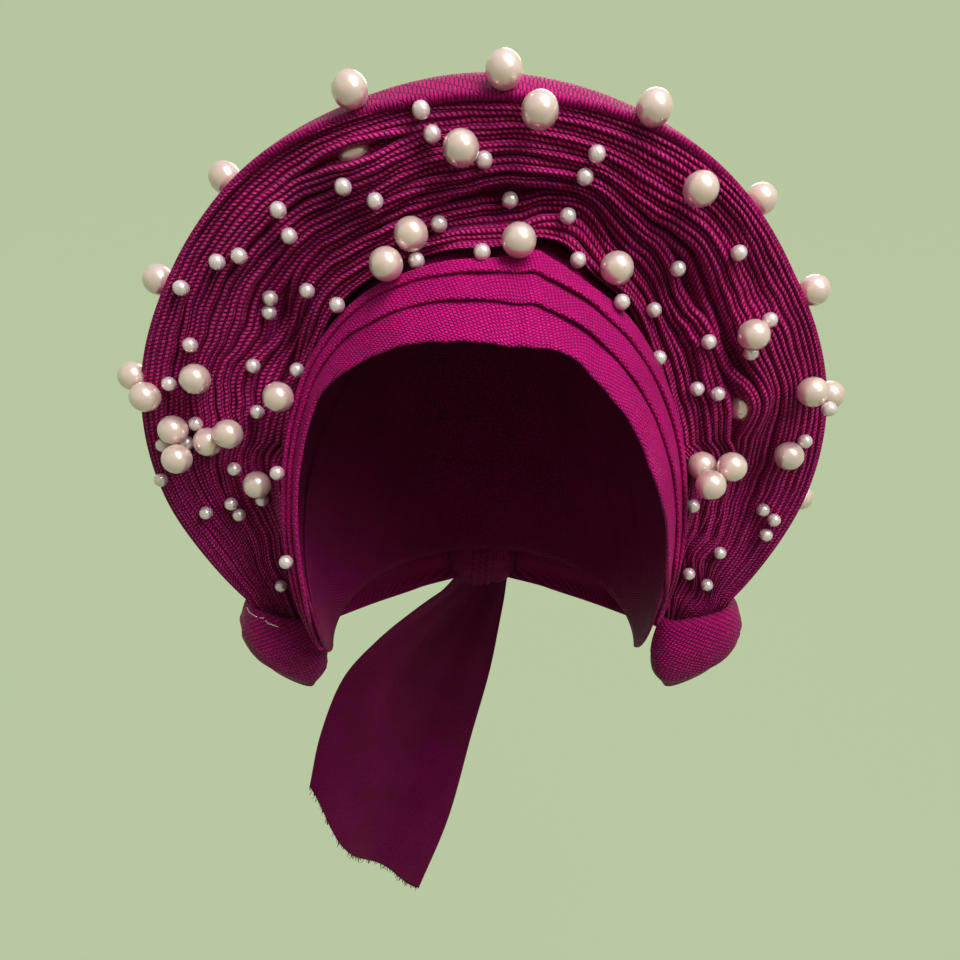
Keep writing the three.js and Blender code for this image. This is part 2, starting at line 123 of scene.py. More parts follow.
# Bends of the pleats: place, extent along and across the pleats, and how far the pleats are pushed outwards
# and back. The deepest hollows are left to OPENING_ROWS.
WAVE_ROWS = table(
    "turn share spread width shift sink",
    (-21, 0.77, 9, 0.2, 1, 0),
    (-57, 0.28, 12, 0.2, -2, 5),
    (-76, 0.5, 10, 0.25, 2, 2),
    (-106, 0.35, 12, 0.3, 2, 2),
    (4, 0.24, 9, 0.15, 1.5, 3),
    (18, 0.2, 8, 0.2, 3, 2),
    (46, 0.35, 10, 0.2, -2.5, 4),
    (78, 0.45, 9, 0.2, 1.5, 0),
    (100, 0.6, 12, 0.3, -2, 2),
    (-60, 0.48, 7, 0.2, -3, 0),
    (-73, 0.5, 7, 0.22, 2.5, 0),
    (-122, 0.4, 5, 0.3, 2.5, 0),
    (121, 0.4, 4, 0.35, -4, 0),
    (128, 0.5, 3.5, 0.35, 4, 1.5),
)

# Gaps that open between two pleats: place, how far it runs along the pleats, its width, how far the edges
# beside it sink, and how far the pleats round it come forward
OPENING_ROWS = table(
    "turn share spread gap sink lips",
    (-21, 0.8, 8, 7.5, 1, 5),
    (-21, 0.84, 9, -1.3, 0, 0),
    (79, 0.44, 8, 10, 1, 4),
    (4, 0.32, 6, 5, 4, 0),
    (-53, 0.4, 7, 5, 4, 0),
    (22, 0.08, 7, 3, 3, 0),
    (46, 0.48, 9, 4.5, 3, 0),
    (66, 0.52, 9, 4, 3, 0),
    (100, 0.2, 14, 3, 2, 0),
    (-95, 0.12, 14, 3, 2, 0),
    (-63, 0.2, 9, 3.5, 3, 0),
)

# How far the soft rim swells out past the rim of the solids
RIM_ROWS = table(
    "turn out",
    (-130, 0.4), (-114, 0.5), (-100, 1.8), (-78, 1.4), (-60, 0.2), (-32, 0.5), (-15, 0.0), (0, 0.0),
    (24, 1.5), (40, 1.1), (58, 0.5), (80, 1.3), (98, 0.8), (114, -0.4), (130, 0.2),
)

# The view: its eye in millimetres, focal length and centre in picture points of a 960-point square
SIGHT = Values(eye=np.array([-1.4, -273.4, -21.4]), pitch=math.radians(18), focal=715.0, centre=480.0)
PICTURE = 960.0
SENSOR = 36.0


def column(rows, key, name, at):
    """Value of a named column between the rows of a table, smooth at the rows."""
    x = np.array([getattr(row, key) for row in rows], float)
    y = np.array([getattr(row, name) for row in rows], float)
    at = np.clip(np.asarray(at, float), x[0], x[-1])
    before = np.r_[0, np.arange(len(x) - 1)]
    after = np.r_[np.arange(1, len(x)), len(x) - 1]
    slope = (y[after] - y[before]) / (x[after] - x[before])
    i = np.clip(np.searchsorted(x, at, "right") - 1, 0, len(x) - 2)
    span = x[i + 1] - x[i]
    t = (at - x[i]) / span
    return (
        (2 * t**3 - 3 * t**2 + 1) * y[i]
        + (t**3 - 2 * t**2 + t) * slope[i] * span
        + (3 * t**2 - 2 * t**3) * y[i + 1]
        + (t**3 - t**2) * slope[i + 1] * span
    )


def smooth(x, low, high):
    t = np.clip((x - low) / (high - low), 0, 1)
    return t * t * (3 - 2 * t)


def bell(x, middle, spread):
    return np.exp(-(((x - middle) / spread) ** 2))


def lerp(a, b, t):
    return a + (b - a) * t


def stack(*parts):
    return np.stack(np.broadcast_arrays(*parts), axis=-1)


def unit(ways):
    return ways / np.linalg.norm(ways, axis=-1, keepdims=True)


def ripple(count, along, waves, seed):
    """Smooth random curves between about -1 and 1, one for each of count."""
    rng = np.random.default_rng(seed)
    total = np.zeros((count, len(along)))
    for wave in waves:
        phase = rng.uniform(0, 2 * np.pi, (count, 1))
        rate = wave * rng.uniform(0.7, 1.3, (count, 1))
        total += np.sin(np.pi * rate * along + phase)
    return total / len(waves)


def fan_point(turn, radius, depth):
    angle = np.radians(turn)
    rise = FAN.centre_rise + radius * np.cos(angle)
    return stack(
        FAN.centre_x + radius * np.sin(angle),
        FAN.foot_y - rise * math.sin(FAN.lean) + depth,
        FAN.foot_z + rise * math.cos(FAN.lean),
    )


def hollow_radius(turn, depth, lift):
    half = HALF + lift
    start = fan_point(turn, 0.0, depth)
    step = (fan_point(turn, 1.0, depth) - start) / half
    place = (start - MIDDLE) / half
    a = (step * step).sum(-1)
    b = (place * step).sum(-1)
    c = (place * place).sum(-1) - 1
    return np.maximum(0, (-b + np.sqrt(np.maximum(0, b * b - a * c))) / a)


def rim_radius(turn):
    past = np.maximum(0, np.abs(turn) - FAN.flare_from) / (FAN.half_angle - FAN.flare_from)
    rightward = np.sin(np.radians(turn))
    flare = FAN.flare + FAN.flare_rightward * rightward
    flared = flare * np.minimum(past, 1) ** FAN.flare_curve
    return FAN.rim - FAN.rim_leftward * rightward + flared + column(RIM_ROWS, "turn", "out", turn)


def crest_dip(turn, share):
    top = np.exp(-((turn / FAN.crest_half_angle) ** 4))
    return FAN.crest_dip * top * (1 - smooth(share, 0, FAN.crest_share))


def pole_depth(lift):
    start = fan_point(0.0, 0.0, 0.0)
    rise = (start[2] + HALF[2]) / (HALF[2] + lift)
    return (HALF[1] + lift) * math.sqrt(1 - rise * rise) - start[1]


def cover_radius(turn, share, lift):
    rim_turn = np.clip(turn, -FAN.half_angle, FAN.half_angle)
    stand_off = rim_radius(turn) - hollow_radius(rim_turn, 0.0, lift)
    left = column(COVER_ROWS, "share", "stand_off", share)
    fold = COVER.fold_height * np.sin(np.pi * share) * np.cos(np.radians(COVER.folds * turn))
    dip = crest_dip(turn, share)
    return hollow_radius(turn, share * pole_depth(lift), lift) + stand_off * left + fold - dip


def cover_start(turn, lift):
    """Share of the way back at which the cover starts, which is past the rim at the nape."""
    past = smooth(np.abs(turn), FAN.half_angle, COVER.nape_turn)
    level = lerp(COVER.end_level, COVER.nape_level, past)
    low, high = np.zeros_like(turn), np.ones_like(turn)
    for _ in range(COVER.level_steps):
        share = (low + high) / 2
        below = fan_point(turn, cover_radius(turn, share, lift), 0.0)[..., 2] < level
        low, high = np.where(below, share, low), np.where(below, high, share)
    return np.where(past > 0, low, 0.0)


def direction(turn, reach):
    t, r = np.radians(turn), np.radians(reach)
    return stack(np.sin(r) * np.sin(t), -np.cos(r), np.sin(r) * np.cos(t))


def hollow_point(turn, reach, lift):
    half = HALF + np.asarray(lift)[..., None]
    return direction(turn, reach) * half + MIDDLE


def wave_at(turn, share, name):
    return sum(
        getattr(row, name) * bell(turn, row.turn, row.spread) * bell(share, row.share, row.width)
        for row in WAVE_ROWS
    )


def run(points, axis):
    """Length along one axis of a grid of points, from its start."""
    step = np.linalg.norm(np.diff(points, axis=axis), axis=-1)
    first = np.zeros_like(np.take(step, [0], axis=axis))
    return np.concatenate([first, np.cumsum(step, axis=axis)], axis=axis)


def add_piece(name, points, faces, material):
    mesh = bpy.data.meshes.new(name)
    mesh.from_pydata((points * MM).tolist(), [], faces)
    mesh.shade_smooth()
    mesh.materials.append(material)
    piece = bpy.data.objects.new(name, mesh)
    scene.collection.objects.link(piece)
    return piece


# Width and length of each sheet laid flat, in metres
FLAT = {}


def cloth(name, points, material, uv=None, thick=0.0):
    """A sheet from a grid of points; its map holds millimetres, along the grid's rows and then across."""
    rows, cols = points.shape[:2]
    if uv is None:
        uv = stack(run(points, 0), run(points, 1))
    index = np.arange(rows * cols).reshape(rows, cols)
    faces = stack(index[:-1, :-1], index[1:, :-1], index[1:, 1:], index[:-1, 1:]).reshape(-1, 4)
    piece = add_piece(name, points.reshape(-1, 3), faces.tolist(), material)
    layer = piece.data.uv_layers.new(name="thread")
    layer.uv.foreach_set("vector", uv.reshape(-1, 2)[faces.ravel()].astype(np.float32).ravel())
    FLAT[name] = (float(run(points, 1)[:, -1].max()) * MM, float(run(points, 0)[-1].mean()) * MM)
    if thick:
        shell = piece.modifiers.new("wall", "SOLIDIFY")
        shell.thickness = thick * MM
        shell.offset = 0
    return piece


def feed(tree, node, inputs):
    """Sets each input of a node to a value, or links it to the output of another node."""
    for name, value in inputs.items():
        if isinstance(value, bpy.types.NodeSocket):
            tree.links.new(value, node.inputs[name])
        else:
            node.inputs[name].default_value = value


def add_node(tree, kind, inputs, **settings):
    """A shader node with its settings and its inputs."""
    node = tree.nodes.new("ShaderNode" + kind)
    for name, value in settings.items():
        setattr(node, name, value)
    feed(tree, node, inputs)
    return node


def new_material(name):
    material = bpy.data.materials.new(name)
    material.use_nodes = True
    return material, material.node_tree, material.node_tree.nodes["Principled BSDF"]


# A float of the weave: length, spacing across and rounding in millimetres, its slant, how far every second
# row is moved across, as a share, and the strength of the relief
WEAVE = {"along": 1.75, "across": 0.95, "rounding": 0.42, "twist": 0.45, "stagger": 0.5, "bump": 0.8}

# How far threads stray, in millimetres, and the height of fibres as a share of a float's
WANDER = 0.7
FIBRE = 0.35


def woven(name, bright, soft, groove, **given):
    """Coarse weave: rows of short slanting floats with grooves between; given values replace WEAVE's."""
    weave = {**WEAVE, **given}
    material, tree, shader = new_material(name)
    uv = add_node(tree, "UVMap", {}, uv_map="thread").outputs["UV"]
    split = add_node(tree, "SeparateXYZ", {0: uv}).outputs
    start = weave["across"] / 2 - WANDER / 2
    across = add_node(tree, "Math", {0: split["Y"], 1: start}, operation="ADD")
    slant = {0: split["Y"], 1: weave["twist"], 2: split["X"]}
    along = add_node(tree, "Math", slant, operation="MULTIPLY_ADD")
    crossed = add_node(tree, "CombineXYZ", {"X": across.outputs[0], "Y": along.outputs[0]})
    # the threads stray a little, as in hand-loom cloth
    wander = add_node(tree, "TexNoise", {"Vector": uv, "Scale": 0.7, "Detail": 3.0})
    stray = {0: wander.outputs["Color"], 1: (WANDER, WANDER, 0.0), 2: crossed.outputs[0]}
    strayed = add_node(tree, "VectorMath", stray, operation="MULTIPLY_ADD")
    float_inputs = {
        "Vector": strayed.outputs[0], "Scale": 1.0, "Color1": (*bright, 1), "Color2": (*soft, 1),
        "Mortar": (*groove, 1), "Mortar Size": weave["rounding"], "Mortar Smooth": 1.0, "Bias": 0.0,
        "Brick Width": weave["across"], "Row Height": weave["along"],
    }
    floats = add_node(tree, "TexBrick", float_inputs, offset=weave["stagger"])

    # broad patches are a little lighter or darker
    place = add_node(tree, "TexCoord", {}).outputs["Object"]
    cloud = add_node(tree, "TexNoise", {"Vector": place, "Scale": 45.0, "Detail": 3.0})
    patches = {"From Min": 0.3, "From Max": 0.7, "To Min": 0.82, "To Max": 1.12}
    shade = add_node(tree, "MapRange", {"Value": cloud.outputs["Fac"], **patches})
    mixed = {"Factor": 1.0, "A": floats.outputs["Color"], "B": shade.outputs["Result"]}
    tint = add_node(tree, "Mix", mixed, data_type="RGBA", blend_type="MULTIPLY")

    # fine fibres lie along the threads
    stretch = add_node(tree, "Mapping", {"Vector": uv, "Scale": (0.6, 3.0, 1.0)})
    fine = {"Vector": stretch.outputs["Vector"], "Scale": 1.6, "Detail": 2.0}
    fibre = add_node(tree, "TexNoise", fine)
    rise = add_node(tree, "Math", {0: 1.0, 1: floats.outputs["Fac"]}, operation="SUBTRACT")
    raised = {0: fibre.outputs["Fac"], 1: FIBRE, 2: rise.outputs[0]}
    height = add_node(tree, "Math", raised, operation="MULTIPLY_ADD").outputs[0]
    bump = {"Strength": weave["bump"], "Distance": 0.0004, "Height": height}
    relief = add_node(tree, "Bump", bump)

    feed(tree, shader, {
        "Base Color": tint.outputs["Result"], "Normal": relief.outputs["Normal"], "Roughness": 0.5,
        "Specular IOR Level": 0.2, "Specular Tint": (1.0, 0.45, 0.75, 1), "Sheen Weight": 0.08,
        "Sheen Roughness": 0.4, "Sheen Tint": (1.0, 0.2, 0.6, 1),
    })
    return material


# The duller patches of a pearl, as a share of its colour
PEARL_DULL = 0.9


def pearly(name, colour):
    material, tree, shader = new_material(name)
    place = add_node(tree, "TexCoord", {}).outputs["Object"]
    cloud = add_node(tree, "TexNoise", {"Vector": place, "Scale": 160.0, "Detail": 2.0})
    ramp = add_node(tree, "ValToRGB", {"Fac": cloud.outputs["Fac"]})
    dull, full = ramp.color_ramp.elements
    dull.position = 0.3
    dull.color = (*[c * PEARL_DULL for c in colour], 1)
    full.position = 0.7
    full.color = (*colour, 1)
    feed(tree, shader, {
        "Base Color": ramp.outputs["Color"], "Metallic": 0.35, "Roughness": 0.3, "Specular IOR Level": 1.0,
        "Coat Weight": 1.0, "Coat Roughness": 0.1, "Coat IOR": 1.9, "Sheen Weight": 0.3,
        "Sheen Roughness": 0.35, "Sheen Tint": (1.0, 0.93, 0.80, 1), "Subsurface Weight": 0.5,
        "Subsurface Radius": (1.0, 0.75, 0.65), "Subsurface Scale": 0.004,
    })
    return material


band_cloth = woven(
    "band_cloth", (0.72, 0.006, 0.24), (0.60, 0.004, 0.195), (0.36, 0.002, 0.11),
    bump=1.0, along=1.15, across=1.0, rounding=0.34, twist=0.3,
)
# a darker copy of the band's cloth: painted shade, for the wraps and the knot, which face down into shadow
wrap_weave_painted_shade = woven(
    "wrap_weave_painted_shade", (0.62, 0.008, 0.20), (0.50, 0.004, 0.16), (0.15, 0.001, 0.046),
    bump=1.0, along=1.5, across=1.2, rounding=0.5,
)
# a much darker copy of the band's cloth: painted shade, for the tail and its fray, which hang in shadow
tail_weave_painted_shade = woven(
    "tail_weave_painted_shade", (0.30, 0.004, 0.10), (0.26, 0.003, 0.085), (0.12, 0.001, 0.038),
    along=1.6, across=0.85,
)
# a lighter, whiter copy of the band's cloth: painted highlights on its floats; its grooves are far darker
# than the band's, painted shade between the floats
pleat_cloth_painted_highlight_and_shade = woven(
    "pleat_cloth_painted_highlight_and_shade", (0.88, 0.045, 0.31), (0.70, 0.018, 0.23), (0.14, 0.002, 0.046),
    bump=1.0, along=1.5, across=1.9, rounding=0.55, twist=0.5, stagger=0.0,
)
# a darker copy of the band's cloth: painted shade on the cover
cover_weave_painted_shade = woven(
    "cover_weave_painted_shade", (0.46, 0.004, 0.15), (0.40, 0.003, 0.125), (0.19, 0.001, 0.06),
    bump=0.9, along=4.2, across=1.15, rounding=0.34, twist=0.6,
)
# a darker copy of the band's cloth: painted shade inside the cap
lining_cloth_painted_shade = woven("lining_cloth_painted_shade", (0.40, 0.003, 0.13), (0.34, 0.003, 0.11), (0.17, 0.001, 0.054))
ivory = pearly("ivory_pearl", (0.92, 0.68, 0.63))
lilac = pearly("lilac_pearl", (0.89, 0.70, 0.74))
white_thread = pearly("white_thread", (0.80, 0.74, 0.72))


# The fan's sheet: its pleats, where they end, how they meet the cap, the band and the cover, and how they
# gather at their ends
PLEATS = Values(
    count=25, stations=380, half_width=1.1, reach=7.6, fill=0.46,
    bundles=(4, 8, 13, 17, 21), outer_end=136.0, inner_end=146.0, lift=1.8, under_cover=0.5,
    least_sine=0.3, beside_turns=(55, 95), slit=4.5, slit_turn=70.0, corner=3.0,
    corner_turn=18.0, corner_spread=7.0, band_lift=3.0, band_depths=(-24.0, 10.0),
    depth_steps=20, behind_band=1.0, front_turns=(105, 130), gather=0.5, gather_from=0.9,
    gather_share=0.6, thread_start=4.0,
)

# Gaps between the folded edges, as shares of a mean gap, and how many edges an opening reaches over
GAPS = Values(
    uneven=0.22, jitter=0.05, bundle=0.6, bundle_sway=0.5, end_share=0.5, least=0.4,
    across=0.5, sink_across=1.2, lips_across=3.5,
)

# How far the folded edges lie back: in bundles, in groups of about three, in a hollow over the band, and at
# the ends
SINK = Values(
    least=0.6, terrace=1.8, ripple=0.5, group=3.1, drift=0.6, group_inner=1.9,
    group_outer=0.5, group_shares=(0.25, 0.85), side_less=0.5, side_turns=(45, 80),
    hollow=3.0, hollow_share=0.27, hollow_width=0.15, hollow_turns=(35, 70), last_most=0.5,
    first_width=0.14, ends=3.0, end_range=(0.93, 1.0),
)

# One pleat across its folded edge: angle round the fold; past the fold its two layers run straight back
PLEAT_ANGLES = (-90, -60, -30, 0, 30, 60, 90)
PLEAT_LAYER = 3.0
PLEAT_ROUND = 0.7


def band_depth(turn):
    """Depth at which the hollow, seen from the fan's centre, meets the top of the front band."""
    low, high = [np.full_like(turn, depth) for depth in PLEATS.band_depths]
    lift = PLEATS.band_lift
    for _ in range(PLEATS.depth_steps):
        depth = (low + high) / 2
        place = fan_point(turn, hollow_radius(turn, depth, lift), depth)
        place = (place - MIDDLE) / (HALF + lift)
        reach = np.degrees(np.arccos(np.clip(-place[..., 1], -1, 1)))
        band_turn = np.degrees(np.arctan2(place[..., 0], place[..., 2]))
        before = reach < column(BAND_ROWS, "turn", "top", band_turn)
        low, high = np.where(before, depth, low), np.where(before, high, depth)
    return low


def first_depth(turn):
    """Depth of the innermost pleat, which lies along the cap just behind the band."""
    front = 1 - smooth(np.abs(turn), *PLEATS.front_turns)
    return (band_depth(turn) + PLEATS.behind_band) * front


def pleat_point(turn, share, depth):
    sine = np.maximum(np.sin(np.radians(np.abs(turn))), PLEATS.least_sine)
    beside = FAN.open_half_width / sine * smooth(np.abs(turn), *PLEATS.beside_turns)
    inner = np.maximum(hollow_radius(turn, first_depth(turn), PLEATS.lift), beside)
    # over the front the pleats stand clear of the band, most at the corner beside its crease
    front = 1 - smooth(np.abs(turn), PLEATS.slit_turn / 2, PLEATS.slit_turn)
    corner = bell(turn, PLEATS.corner_turn, PLEATS.corner_spread)
    inner = inner + PLEATS.slit * front + PLEATS.corner * corner
    back = np.maximum(depth, 0) / pole_depth(COVER.lift)
    outer = cover_radius(turn, back, COVER.lift) - PLEATS.under_cover
    shift = wave_at(turn, share, "shift") * np.sin(np.pi * np.clip(share, 0, 1))
    radius = lerp(inner, outer, share) + shift
    return fan_point(turn, np.maximum(radius, hollow_radius(turn, depth, PLEATS.lift)), depth)


def pleat_gaps(side, middle):
    """Width of the gap before each folded edge, and how far openings push the edges back and forward."""
    count = PLEATS.count
    spacing = 1 + GAPS.uneven * ripple(count + 1, side, waves=(3, 7, 13), seed=1)
    spacing += GAPS.jitter * ripple(count + 1, side, waves=(33, 47), seed=3)
    for gap in PLEATS.bundles:
        spacing[gap] += GAPS.bundle + GAPS.bundle_sway * ripple(1, side, waves=(2, 5), seed=40 + gap)[0]
    spacing[[0, -1]] *= GAPS.end_share
    gap_place = np.arange(count + 1)[:, None]
    edge_place = np.arange(count)[:, None] + 0.5
    sink, lips = np.zeros((2, count, len(side)))
    for row in OPENING_ROWS:
        along = bell(middle, row.turn, row.spread)
        place = row.share * count
        spacing += row.gap / (2 * PLEATS.half_width) * bell(gap_place, place, GAPS.across) * along
        sink += row.sink * bell(edge_place, place, GAPS.sink_across) * along
        lips -= row.lips * bell(edge_place, place, GAPS.lips_across) * along
    return np.maximum(spacing, GAPS.least), sink, lips


def pleat_sink(side, middle, ridge):
    """How far each folded edge lies back, before the openings and the ends."""
    order = np.arange(PLEATS.count)
    bundle = np.searchsorted(PLEATS.bundles, order, "right")
    terrace = SINK.terrace * ripple(len(PLEATS.bundles) + 1, side, waves=(2, 4), seed=5)[bundle]
    drift = SINK.drift * ripple(1, side, waves=(2, 5), seed=7)[0]
    near_top = 1 - SINK.side_less * smooth(np.abs(middle), *SINK.side_turns)
    group = lerp(SINK.group_inner, SINK.group_outer, smooth(ridge, *SINK.group_shares))
    gather = near_top * group * (1 + np.cos(2 * np.pi * (order[:, None] / SINK.group + drift)))
    hollow = SINK.hollow * bell(ridge, SINK.hollow_share, SINK.hollow_width)
    hollow = hollow * (1 - smooth(np.abs(middle), *SINK.hollow_turns))
    fine = SINK.ripple * ripple(len(order), side, waves=(4, 9, 17), seed=2)
    return SINK.least + terrace + gather + fine + wave_at(middle, ridge, "sink") + hollow


def fan_cloth():
    count, half, reach = PLEATS.count, PLEATS.half_width, PLEATS.reach
    side = np.linspace(-1, 1, PLEATS.stations)
    middle = side * (PLEATS.outer_end + PLEATS.inner_end) / 2
    spacing, opened, lips = pleat_gaps(side, middle)
    edge = np.cumsum(spacing, axis=0) / spacing.sum(axis=0)
    ridge = edge[:-1]
    sink = np.maximum(opened + pleat_sink(side, middle, ridge), 0.0)
    sink[-1] = np.minimum(sink[-1], SINK.last_most)
    # the first folded edges come forward along the cap to the band
    sink += lips + first_depth(middle) * bell(ridge, 0, SINK.first_width)
    sink += SINK.ends * smooth(np.abs(side), *SINK.end_range)
    inner, outer = [pleat_point(middle, share, np.zeros_like(middle)) for share in (0.0, 1.0)]
    most = half / np.linalg.norm(outer - inner, axis=-1)

    bend = np.radians(PLEAT_ANGLES)
    section = list(zip(np.sin(bend), PLEAT_ROUND * half * (1 - np.cos(bend)), half * bend))
    run_back = half * bend[-1] + PLEAT_LAYER - PLEAT_ROUND * half
    section = [(-1.0, PLEAT_LAYER, -run_back), *section, (1.0, PLEAT_LAYER, run_back)]
    sheet = reach * 2
    lines = []
    for p in range(count):
        before = ridge[p] - ridge[p - 1] if p else ridge[p]
        after = (ridge[p + 1] if p + 1 < count else edge[-1]) - ridge[p]
        valley = np.maximum(sink[p], sink[p - 1]) if p else sink[p]
        bottom = np.minimum(valley + reach, FAN.pleat_depth)
        lines.append((ridge[p] - before / 2, bottom, sheet * p - reach, p))
        halves = [np.minimum(most, gap * PLEATS.fill) for gap in (before, after)]
        for sideways, back, thread in section:
            place = ridge[p] + sideways * halves[sideways > 0]
            lines.append((place, sink[p] + back, sheet * p + thread, p))
    lines.append((edge[-1], np.full_like(side, FAN.pleat_depth), sheet * count - reach, count - 1))
    shares, depths, thread_at, owner = zip(*lines)

    share = np.stack(shares, axis=1)
    depth = np.stack(depths, axis=1)
    thread_at, owner = np.array(thread_at), np.array(owner)
    gathered = PLEATS.gather * smooth(np.abs(side), PLEATS.gather_from, 1.0)[:, None]
    share = lerp(share, np.maximum(share, PLEATS.gather_share), gathered)
    end = lerp(PLEATS.inner_end, PLEATS.outer_end, share)
    points = pleat_point(side[:, None] * end, share, depth)
    # threads run along each folded edge, from the top of the fan outwards
    along = run(points, 0)
    along = along - along[len(side) // 2]
    folded = np.array([np.argmax((owner == p) & (thread_at == sheet * p)) for p in owner])
    start = np.random.default_rng(6).uniform(0, PLEATS.thread_start, count)[owner]
    uv = stack(along[:, folded] + start, thread_at[None, :])
    return cloth("fan_cloth", points, pleat_cloth_painted_highlight_and_shade, uv)


# The cover's sheet: lines drawn in towards the back, and the rim's edge, behind the last pleat at the sides
COVER_SHEET = Values(
    stations=241, rings=48, lines=26, line_lean=14, line_spread=(3.0, 8.0),
    line_depth=(0.6, 2.0), line_from=(0.1, 0.5), line_full=0.95, pole_fade=30, behind=1.8,
    behind_turns=(28, 50), behind_share=0.06, rim_blend=2, gauge_rings=10, thick=1.0,
)
RIM_TUCK = table("inset back", (1.3, 2.5), (0.9, 0.2))


def cover_cloth():
    lift = COVER.lift + COVER.wall / 2
    turns = np.linspace(-180, 180, COVER_SHEET.stations)
    along = np.linspace(0, 1, COVER_SHEET.rings) ** COVER.rim_crowding
    start = np.arcsin(cover_start(turns, lift))
    share = np.sin(lerp(start[:, None], math.pi / 2, along[None, :]))
    turn = np.repeat(turns[:, None], len(along), axis=1)
    radius = cover_radius(turn, share, lift)
    drawn = np.zeros_like(radius)
    rng = np.random.default_rng(21)
    lean = COVER_SHEET.line_lean
    for _ in range(COVER_SHEET.lines):
        line = rng.uniform(-180, 180) + rng.uniform(-lean, lean) * share
        spread = rng.uniform(*COVER_SHEET.line_spread)
        deep = rng.uniform(*COVER_SHEET.line_depth)
        shown = smooth(share, rng.uniform(*COVER_SHEET.line_from), COVER_SHEET.line_full)
        drawn -= deep * bell(turn, line, spread) * shown
    drawn *= smooth(radius, 0, COVER_SHEET.pole_fade)
    radius = np.where(along[None, :] == 1, 0.0, np.maximum(radius + drawn, 0.0))
    # the folded edge at the rim turns in over the last pleat at the top, and lies behind it at the sides
    behind = COVER_SHEET.behind * smooth(np.abs(turn), *COVER_SHEET.behind_turns)
    near_rim = 1 - smooth(share, 0, COVER_SHEET.behind_share)
    points = fan_point(turn, radius, share * pole_depth(lift) + behind * near_rim)
    end, blend = FAN.half_angle, COVER_SHEET.rim_blend
    rim = smooth(-np.abs(turns), -end - blend, -end + blend)
    tuck = [
        fan_point(turns, radius[:, 0] - rim * row.inset, row.back + behind[:, 0]) for row in RIM_TUCK
    ]
    lead = lerp(points[:, :1], np.stack(tuck, axis=1), rim[:, None, None])
    points = np.concatenate([lead, points], axis=1)
    around = run(points, 0)[:, len(tuck) : len(tuck) + COVER_SHEET.gauge_rings].mean(axis=1)
    uv = stack(run(points, 1), around[:, None])
    return cloth("cover_cloth", points, cover_weave_painted_shade, uv, thick=COVER_SHEET.thick)


# The cap's sheet: its edge behind the band and at the nape, the way its rings close, and its puckers
CAP = Values(
    stations=90, rings=40, tuck=4.0, nape_from=68.0, nape_drop=math.radians(31), corner=3,
    pole=np.array([0, 0.75, 0.66]), lift=0.6, pucker=0.45, pucker_power=0.7, seam_from=0.9,
    clear=2.0, thick=0.9,
)


def cap_edge():
    count, drop, corner = CAP.stations, CAP.nape_drop, CAP.corner
    turn = np.linspace(BAND_ROWS[0].turn, BAND_ROWS[-1].turn, count)
    opening = direction(turn, column(BAND_ROWS, "turn", "lower", turn) + CAP.tuck)
    azimuth = np.radians(np.linspace(CAP.nape_from, 360 - CAP.nape_from, count))
    nape = stack(np.sin(azimuth) * math.cos(drop), -np.cos(azimuth) * math.cos(drop), -math.sin(drop))
    edge = np.concatenate([opening, nape])
    # the corners between the front opening and the nape are rounded
    steps = range(-corner, corner + 1)
    edge = sum(np.roll(edge, step, axis=0) for step in steps) / len(steps)
    return unit(np.concatenate([edge, edge[:1]]))


def cap_cloth():
    edge = cap_edge()
    pole = unit(CAP.pole)
    angle = np.arccos(np.clip(edge @ pole, -1, 1))[:, None, None]
    t = np.linspace(0, 1, CAP.rings)[None, :, None]
    way = (np.sin((1 - t) * angle) * edge[:, None] + np.sin(t * angle) * pole) / np.sin(angle)
    around = np.linspace(-1, 1, len(edge))
    pucker = CAP.pucker * ripple(1, around, waves=(23, 37, 51), seed=8)[0]
    pucker *= 1 - smooth(np.abs(around), CAP.seam_from, 1.0)
    lift = CAP.lift + pucker[:, None] * np.sin(np.pi * t[..., 0]) ** CAP.pucker_power
    points = way * (HALF + lift[..., None]) + MIDDLE
    out = HALF[0] * np.arcsin(np.clip(points[..., 0] / (HALF[0] + CAP.clear), -1, 1))
    over = (HALF[1] + HALF[2]) / 2 * np.arctan2(points[..., 2] + HALF[2], points[..., 1])
    return cloth("cap_cloth", points, lining_cloth_painted_shade, stack(over, out), thick=CAP.thick)


# Band folds: which columns of BAND_ROWS each lies between, and how far its edge can stand open
BAND_FOLDS = table(
    "name level low high tuck gape seed",
    ("lower", 0, "lower", "fold2", -1.0, 1.2, 3),
    ("middle", 1, "fold1", "top", -1.0, 0.9, 4),
    ("upper", 2, "fold2", "top", 0.0, 0.9, 5),
)
BAND = Values(
    stations=240, first_lift=1.7, step=1.3, layer=0.75, wall=0.5, edge_sway=0.12,
    wave=0.25, crease_turn=14.5, crease_spread=2.2, crease_height=0.7, taper_from=0.84,
    end_turn_back=7.0, end_narrow=0.6, end_settle=0.5,
)
BAND_OPEN = table("turn spread share", (27, 11, 1.0), (-4, 7, 0.5))

# One band fold across: share of the way from its folded edge to its top, and share of its thickness
BAND_SECTION = table(
    "share layer",
    (0.97, 0.0), (0.5, 0.0), (0.1, 0.0), (0.02, 0.08), (0.0, 0.5), (0.015, 0.9), (0.06, 1.08),
    (0.14, 1.1), (0.26, 1.05), (0.42, 1.0), (0.6, 1.0), (0.8, 1.0), (0.94, 0.95), (1.0, 0.6),
)


